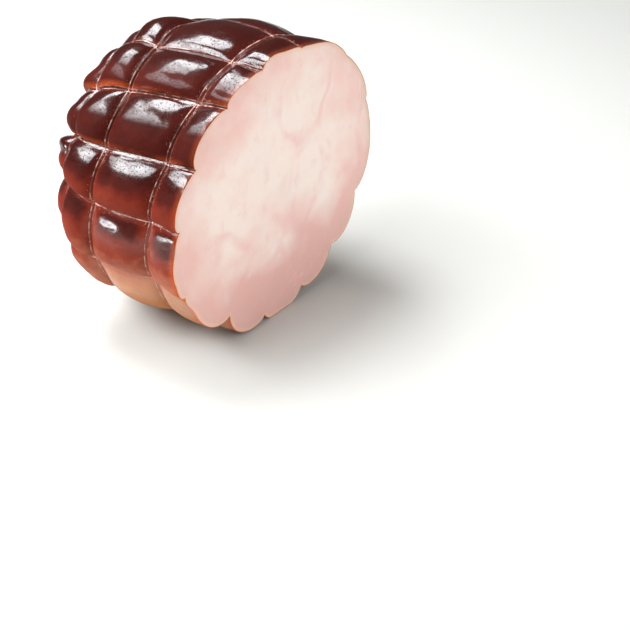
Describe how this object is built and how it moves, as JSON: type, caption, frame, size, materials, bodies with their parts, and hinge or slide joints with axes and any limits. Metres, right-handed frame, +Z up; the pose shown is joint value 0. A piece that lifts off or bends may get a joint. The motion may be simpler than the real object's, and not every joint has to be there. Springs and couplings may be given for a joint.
{
  "type": "black forest ham",
  "caption": "Half of a boneless smoked ham cooked in a net and cut straight across, with a dark glossy crust of net-marked pillows and a pale pink cut face.",
  "frame": {"origin": "centre of the ham's box in X and Y, at the level of the surface it lies on", "axes": "+Z up, -Y straight out of the flat cut face, +Y towards the closed rounded end, +X to the right as seen from the cut"},
  "size_m": [0.1494, 0.0884, 0.1486],
  "materials": {
    "smoked_crust": "glossy dark brown smoked skin, redder in the lower folds and tan near the underside, with pale fine string marks",
    "cut_meat": "moist satin pale pink meat, creamy in the middle, with soft darker pink mottling and a thin rind"
  },
  "bodies": {
    "root": {"ham": "smoked_crust"}
  },
  "joints": []
}
